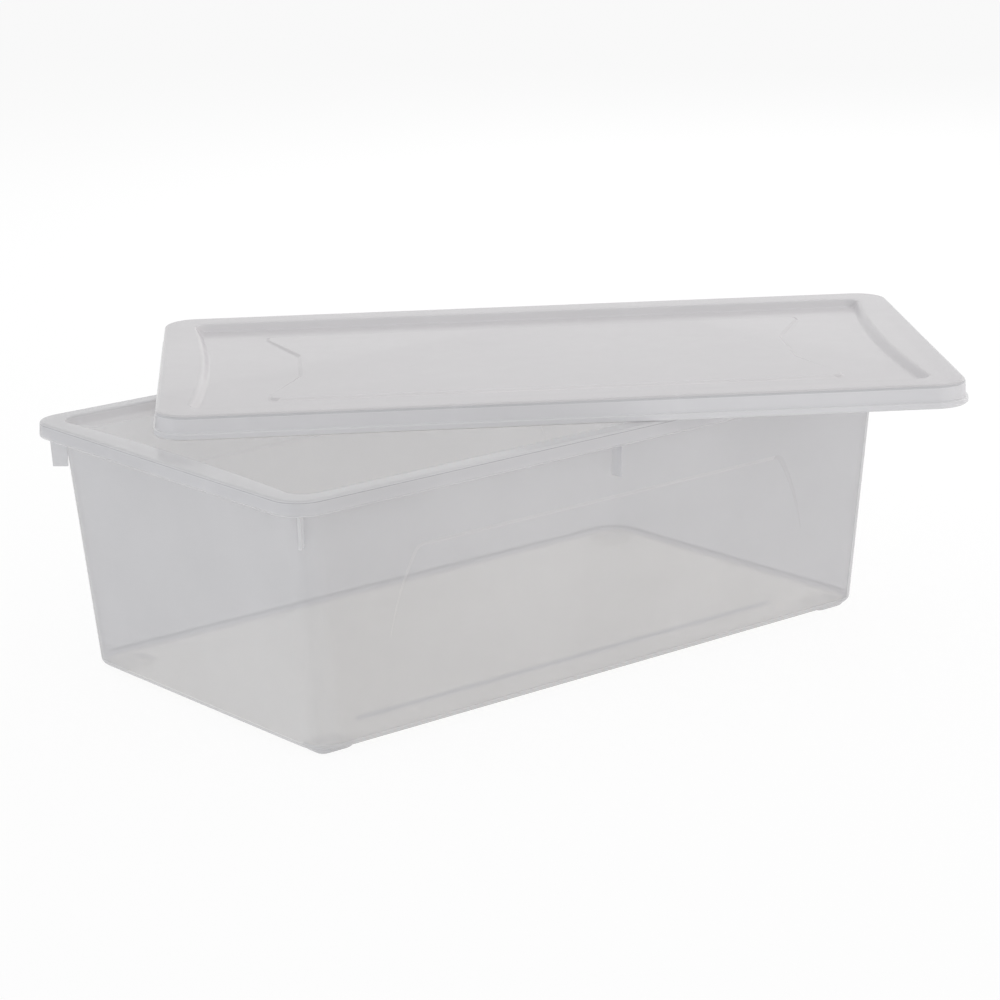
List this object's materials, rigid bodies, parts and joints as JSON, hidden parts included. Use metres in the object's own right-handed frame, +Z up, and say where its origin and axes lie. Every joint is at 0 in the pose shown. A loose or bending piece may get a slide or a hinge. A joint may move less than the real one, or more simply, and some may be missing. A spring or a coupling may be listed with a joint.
{
  "type": "storage box with lid",
  "caption": "Clear plastic storage box: a drafted tub with a rolled rim on hollow feet, and a loose lid with a stacking recess lying askew on it.",
  "frame": {"origin": "middle of the underside of the box that tub and lid fill together as they lie", "axes": "+X along the tub, +Y across it to its back, +Z up"},
  "size_m": [0.4268, 0.366, 0.1281],
  "materials": {
    "tub_plastic": "clear, slightly milky",
    "lid_plastic": "clear, slightly milky"
  },
  "bodies": {
    "tub": {"tub": "tub_plastic"},
    "lid": {"lid": "lid_plastic"}
  },
  "joints": [
    {"name": "lid_lift", "type": "slide", "parent": "tub", "child": "lid", "axis": [0, 0, 1], "range_m": [0, 0.15]}
  ]
}
